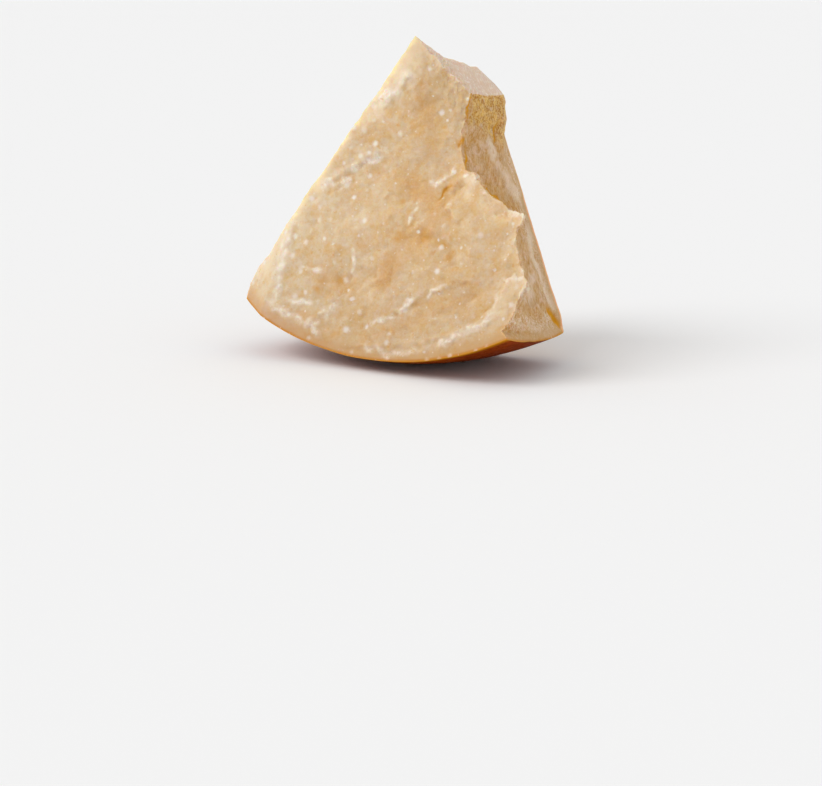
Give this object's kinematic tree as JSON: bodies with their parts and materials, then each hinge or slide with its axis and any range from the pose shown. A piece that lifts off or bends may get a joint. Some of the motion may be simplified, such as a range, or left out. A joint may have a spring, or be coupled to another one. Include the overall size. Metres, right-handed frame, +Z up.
{
  "type": "parmesan chunk",
  "caption": "Broken wedge of a hard grating cheese wheel, standing on its curved rind, with rough crumbly faces.",
  "frame": {"origin": "centre of the bounding box's bottom face, on the surface that the chunk stands on", "axes": "+Z up towards the broken tip, -Y out of the broad broken face, +X to the right of that face"},
  "size_m": [0.2136, 0.1564, 0.2194],
  "materials": {
    "cheese": "broken straw-coloured paste with white crystals, tan to amber rind"
  },
  "bodies": {
    "root": {"cheese_chunk": "cheese"}
  },
  "joints": []
}
